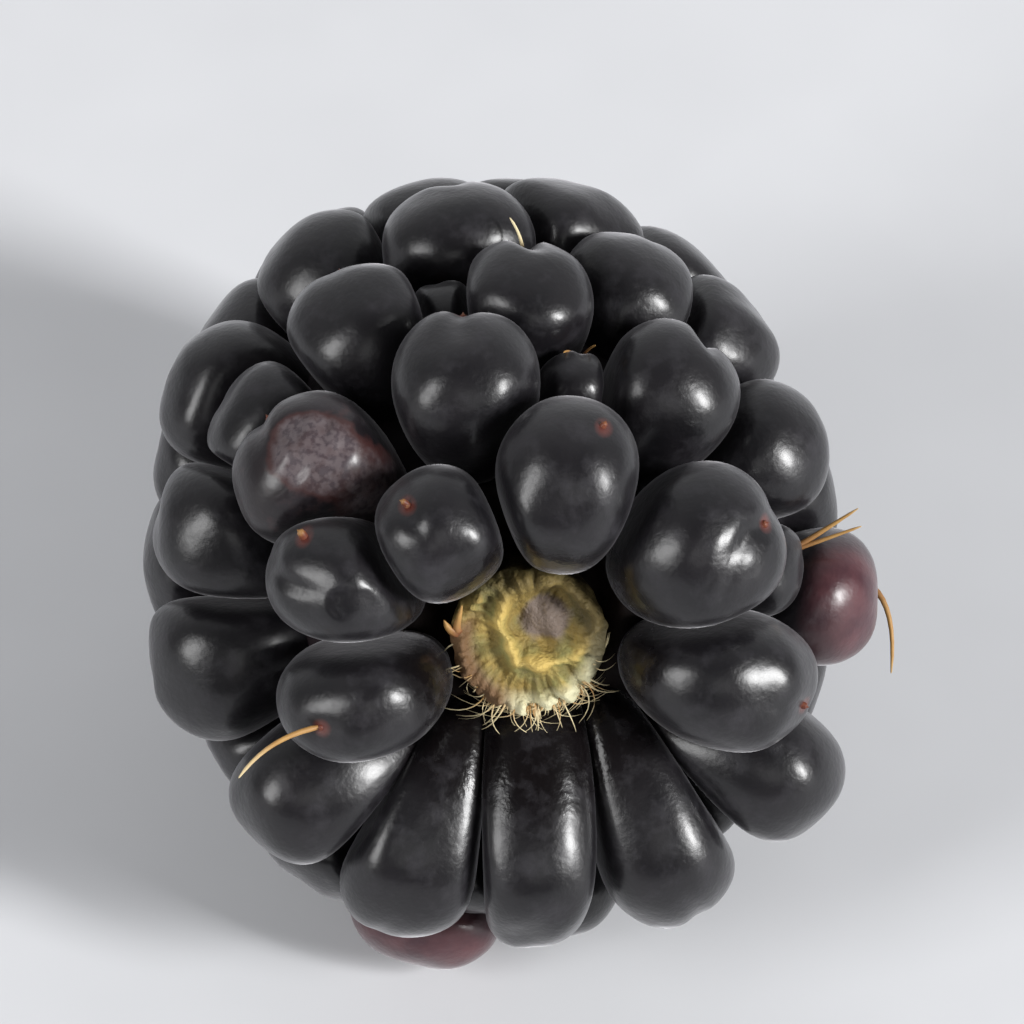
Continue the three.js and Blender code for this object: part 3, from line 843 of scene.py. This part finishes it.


# %% [markdown]
# ### Flesh, pith and threads
#
# These have no wax: they are rough and scatter the light. Noise alone could colour them, but the torn pith
# gets painted shade in its hollows and upper right, painted light on its ridges and cream at its rim. So its
# tints are laid over each other by the height and the place on its own face, and a thread's by the way along
# it.

# %% Flesh: juice-dark and a little wet, brown by the core
def flesh_material():
    """Dark juice in soft patches, brown where the core stands in it, with a faint fibrous relief."""
    material, tree, in_mm, (near_core,) = new_material("crevice_flesh", "near_core")
    dark = mottled(tree, in_mm, 1.2, 0.3, 0.7, "#0c080b", "#1a0f14")
    colour = painted(tree, dark, near_core, 0, 1, linear("#1a120e"))
    wet = add(tree, "TexNoise", {"Vector": in_mm, "Scale": 1 / 0.8})
    rough = add(tree, "MapRange", {"Value": wet, **MOST, "To Min": 0.6, "To Max": 0.8})
    relief = add(tree, "TexNoise", {"Vector": in_mm, "Scale": 1 / 0.4, "Detail": 3})
    shader = add(tree, "BsdfPrincipled", {
        "Base Color": colour, "Roughness": rough, "IOR": 1.4, "Specular IOR Level": 0.25,
        "Normal": add(tree, "Bump", {"Height": relief, "Distance": 0.06 * MM, "Strength": 1.0}),
    })
    add(tree, "OutputMaterial", {"Surface": shader})
    return material


# %% Core: dry, fibrous pith, ochre to yellow-green, with a mauve middle and a cream torn edge
def core_material():
    """Pith with painted shade in its hollows and painted light on its ridges, then the tints of the rim,
    painted shade on its upper right side, then the middle and specks.
    """
    marks = "relief", "cream", "tan", "shade_upper_right", "mauve"
    material, tree, in_mm, (relief, cream, tan, shade_upper_right, mauve) = new_material("torn_pith", *marks)
    cloud = add(tree, "TexNoise", {"Vector": in_mm, "Scale": 1 / 0.9, "Detail": 3})
    fine = add(tree, "TexNoise", {"Vector": in_mm, "Scale": 1 / 0.18, "Detail": 3})
    colour = painted(tree, linear("#a48d4c"), cloud, 0.4, 0.6, linear("#8b8550"))
    # Painted shade in the hollows of the torn face, and painted light on its ridges.
    colour = painted(tree, colour, relief, 0.15, -0.05, linear("#5c4c26"), 0.5)
    colour = painted(tree, colour, relief, 0.16, 0.4, linear("#c9ad62"), 0.85)
    colour = painted(tree, colour, cream, 0, 1, linear("#cfcaa6"))
    colour = painted(tree, colour, tan, 0, 1, linear("#6e5338"))
    # Painted shade on the upper right side of the face.
    colour = painted(tree, colour, shade_upper_right, 0, 1, linear("#40371f"), 0.9)
    # The mauve middle has a wandering edge.
    edge = add(tree, "MapRange", {"Value": cloud, **MOST, "To Min": -0.3, "To Max": 0.3})
    mauve = add(tree, "Math", {0: mauve, 1: edge}, operation="ADD")
    colour = painted(tree, colour, mauve, 0.2, 0.8, linear("#6b5e55"))
    colour = painted(tree, colour, fine, 0.55, 0.8, linear("#5c4b2d"), 0.45)
    rough = add(tree, "MapRange", {"Value": fine, **MOST, "To Min": 0.6, "To Max": 0.8})
    height = add(tree, "Math", {0: cloud, 1: fine}, operation="ADD")
    shader = add(tree, "BsdfPrincipled", {
        "Base Color": colour, "Roughness": rough, "IOR": 1.4,
        "Normal": add(tree, "Bump", {"Height": height, "Distance": 0.12 * MM, "Strength": 1.0}),
    })
    add(tree, "OutputMaterial", {"Surface": shader})
    return material


# %% Dried styles and fibres: straw, red-brown where they meet the skin
def thread_material():
    """Red-brown to tan to cream, by 0.8 times the way along the thread plus its own tone."""
    material, tree, in_mm, (along, tone) = new_material("dry_fibre", "along", "tone")
    foot = mottled(tree, in_mm, 0.35, 0.3, 0.7, "#74402a", "#5c2c20")
    tan = mottled(tree, in_mm, 0.5, 0.3, 0.7, "#b18a50", "#a57c46")
    way = add(tree, "Math", {0: along, 1: 0.8, 2: tone}, operation="MULTIPLY_ADD")
    colour = painted(tree, foot, way, 0.6, 1.2, tan)
    colour = painted(tree, colour, way, 1.4, 1.9, linear("#d8caa2"))
    shader = add(tree, "BsdfPrincipled", {"Base Color": colour, "Roughness": 0.55, "IOR": 1.45})
    add(tree, "OutputMaterial", {"Surface": shader})
    return material


# %% Put them on
SKIN, DRY = skin_material(), thread_material()
for piece in SKIN_PIECES:
    piece.data.materials.append(SKIN)
FLESH.data.materials.append(flesh_material())
CORE.data.materials.append(core_material())
for piece in (FIBRES, STYLES):
    piece.data.materials.append(DRY)
print("materials:", sorted(m.name for m in bpy.data.materials if m.users))

# %% [markdown]
# ## Table, light and camera
#
# A black berry is drawn by what it mirrors. One soft window of light on each side gives every drupelet a
# pair of highlights, a weak light in front opens up the shadows, and the pale table fills the faces that
# look down.

# %% Table
FLOOR_SIZE = 3.0  # m
floor_mesh = bpy.data.meshes.new("paper")
half = FLOOR_SIZE / 2
floor_corners = [(-half, -half, 0), (half, -half, 0), (half, half, 0), (-half, half, 0)]
floor_mesh.from_pydata(floor_corners, [], [(0, 1, 2, 3)])
FLOOR = bpy.data.objects.new("paper", floor_mesh)
bpy.context.scene.collection.objects.link(FLOOR)
PAPER, tree, in_mm, _ = new_material("matte_paper")
tint = mottled(tree, in_mm, 8.0, 0.3, 0.7, "#d0d1d4", "#d4d5d8")
shader = add(tree, "BsdfPrincipled", {
    "Base Color": tint, "Roughness": 0.7, "IOR": 1.45, "Specular IOR Level": 0.2,
})
add(tree, "OutputMaterial", {"Surface": shader})
floor_mesh.materials.append(PAPER)
print("paper", FLOOR_SIZE, "m wide")

# %% Light
TARGET = Vector((0.0, 0.0, 0.0112))  # m: the middle of the berry


def on_sphere(azimuth, elevation, distance):
    """TARGET + distance * (sin a cos e, -cos a cos e, sin e), with azimuth a = 0 on the camera's side."""
    a, e = np.radians(azimuth), np.radians(elevation)
    return TARGET + Vector((np.sin(a) * np.cos(e), -np.cos(a) * np.cos(e), np.sin(e))) * distance


def soft_light(name, azimuth, elevation, distance, width, height, power):
    """A rectangular light that faces the berry and isn't seen itself."""
    light = bpy.data.lights.new(name, "AREA")
    light.shape, light.size, light.size_y, light.energy = "RECTANGLE", width, height, power
    lamp = bpy.data.objects.new(name, light)
    bpy.context.scene.collection.objects.link(lamp)
    lamp.location = on_sphere(azimuth, elevation, distance)
    lamp.rotation_euler = (TARGET - lamp.location).to_track_quat("-Z", "Y").to_euler()
    lamp.visible_camera = False


soft_light("window_left", -58, 28, 1.0, 0.4, 0.56, 7.0)
soft_light("window_right", 62, 26, 1.0, 0.17, 0.38, 14.0)
soft_light("front_fill", 8, 34, 1.0, 0.45, 0.4, 0.6)
print("lights:", sorted(light.name for light in bpy.data.lights))

# %% Room
# It is bright behind the berry and above it, and dark on the camera's side, so that each drupelet goes from
# a grey upper rim to black below. The camera itself sees an even one.
BRIGHTEST_WAY = (0.0, 0.97, 0.25)
DARK_SIDE, BRIGHT_SIDE, SEEN_ROOM = 0.05, 0.75, 0.7
world = bpy.data.worlds.new("studio")
world.use_nodes = True
tree = world.node_tree
direction = add(tree, "TexCoord", {}, "Generated")
facing = add(tree, "VectorMath", {0: direction, 1: BRIGHTEST_WAY}, 1, operation="DOT_PRODUCT")
ends = {"From Min": -0.2, "From Max": 1.0, "To Min": DARK_SIDE, "To Max": BRIGHT_SIDE}
fade = add(tree, "MapRange", {"Value": facing, **ends}, interpolation_type="SMOOTHSTEP")
seen = add(tree, "LightPath", {}, "Is Camera Ray")
strength = add(tree, "Mix", {0: seen, 2: fade, 3: SEEN_ROOM})
sky = tree.nodes["Background"]
sky.inputs["Color"].default_value = linear("#f0f1f4")
tree.links.new(strength, sky.inputs["Strength"])
bpy.context.scene.world = world
print("room:", DARK_SIDE, "on the camera's side to", BRIGHT_SIDE, "behind")

# %% Camera
ELEVATION, DISTANCE, SHOWN = 48.5, 0.28, 0.033  # degrees, m, m across the picture
camera = bpy.data.cameras.new("camera")
CAMERA = bpy.data.objects.new("camera", camera)
bpy.context.scene.collection.objects.link(CAMERA)
CAMERA.location = on_sphere(0, ELEVATION, DISTANCE)
CAMERA.rotation_euler = (TARGET - CAMERA.location).to_track_quat("-Z", "Y").to_euler()
camera.sensor_width, camera.lens, camera.clip_start = 36, 36 * DISTANCE / SHOWN, 0.01
bpy.context.scene.camera = CAMERA
bpy.context.scene.view_settings.view_transform = "Standard"
print("camera", round(DISTANCE * 1000), "mm away,", round(camera.lens), "mm lens")
